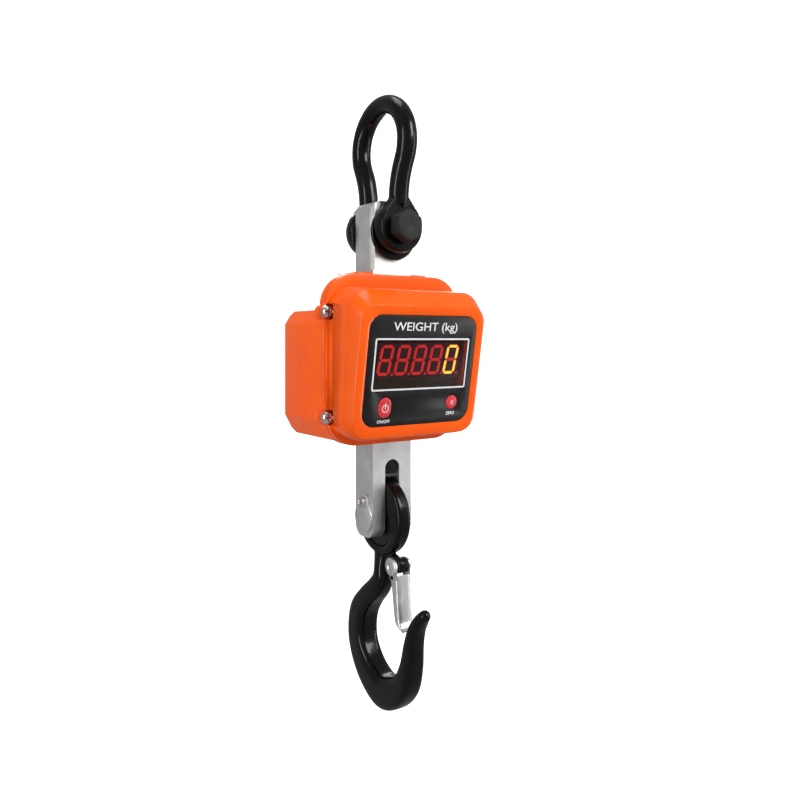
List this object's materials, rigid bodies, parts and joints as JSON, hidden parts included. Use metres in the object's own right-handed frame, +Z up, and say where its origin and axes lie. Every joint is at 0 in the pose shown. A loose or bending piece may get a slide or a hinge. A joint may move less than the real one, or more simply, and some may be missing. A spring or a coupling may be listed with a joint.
{
  "type": "crane scale",
  "caption": "Hanging crane scale: bow shackle, steel load bar, cast housing with a digital display and keys, and a latched swinging hook.",
  "frame": {"origin": "Inner crown of the bow, in the middle of its round bar, where the crane's hook carries the scale", "axes": "+Z up along the load line, -Y out of the display side, +X to the right of a reader facing the display"},
  "size_m": [0.1762, 0.1614, 0.6468],
  "materials": {
    "black_steel": "gloss",
    "black_paint": "gloss",
    "zinc_steel": "satin",
    "plated_steel": "satin",
    "black_rubber": "matte",
    "orange_paint": "satin",
    "panel_black": "satin",
    "red_window": "gloss",
    "digit_grey": "matte",
    "board_green": "satin",
    "brass": "satin",
    "gauge_foil": "satin",
    "inner_plastic": "matte",
    "key_red": "satin"
  },
  "bodies": {
    "suspension": {"shackle_bow": "black_steel", "shackle_bolt": "black_steel", "shackle_nut": "black_steel", "shackle_cotter": "zinc_steel", "jaw_spacers": "black_rubber"},
    "scale_body": {"load_cell": "plated_steel", "slot_buffer": "black_rubber", "strain_gauges": "gauge_foil", "gauge_covers": "plated_steel", "rear_housing": "orange_paint", "housing_gasket": "black_rubber", "front_cover": "orange_paint", "cover_screws": "zinc_steel", "cover_washers": "zinc_steel", "cell_screws": "black_steel", "top_seal": "black_rubber", "bottom_seal": "black_rubber", "face_panel": "panel_black", "display_window": "red_window", "digit_modules": "digit_grey", "display_board": "board_green", "board_standoffs": "brass", "key_switches": "inner_plastic", "main_board": "board_green", "battery": "inner_plastic", "battery_strap": "zinc_steel", "battery_door": "orange_paint", "door_gasket": "black_rubber", "door_screws": "zinc_steel", "charge_socket": "inner_plastic", "socket_cap": "black_rubber", "hook_pin": "plated_steel", "keeper_plate": "zinc_steel", "keeper_screw": "zinc_steel"},
    "power_pad": {"power_key": "key_red"},
    "zero_pad": {"zero_key": "key_red"},
    "hook_body": {"hook": "black_paint", "eye_packing": "black_rubber", "latch_pin": "zinc_steel", "latch_spring": "black_steel"},
    "latch_body": {"latch": "zinc_steel"}
  },
  "joints": [
    {"name": "shackle_swing", "type": "hinge", "parent": "suspension", "child": "scale_body", "pos_m": [0, 0, -0.122], "axis": [0, 1, 0], "range_deg": [-85, 85]},
    {"name": "hook_swing", "type": "hinge", "parent": "scale_body", "child": "hook_body", "pos_m": [0, 0, -0.42], "axis": [1, 0, 0], "range_deg": [-75, 75]},
    {"name": "latch_swing", "type": "hinge", "parent": "hook_body", "child": "latch_body", "pos_m": [0, -0.03, -0.4705], "axis": [1, 0, 0], "range_deg": [0, 30], "stiffness_Nm_per_rad": 0.05, "springref_deg": -17.19},
    {"name": "power_press", "type": "slide", "parent": "scale_body", "child": "power_pad", "axis": [0, 0.9858, 0.1676], "range_m": [0, 0.0012], "stiffness_N_per_m": 400},
    {"name": "zero_press", "type": "slide", "parent": "scale_body", "child": "zero_pad", "axis": [0, 0.9858, 0.1676], "range_m": [0, 0.0012], "stiffness_N_per_m": 400}
  ]
}
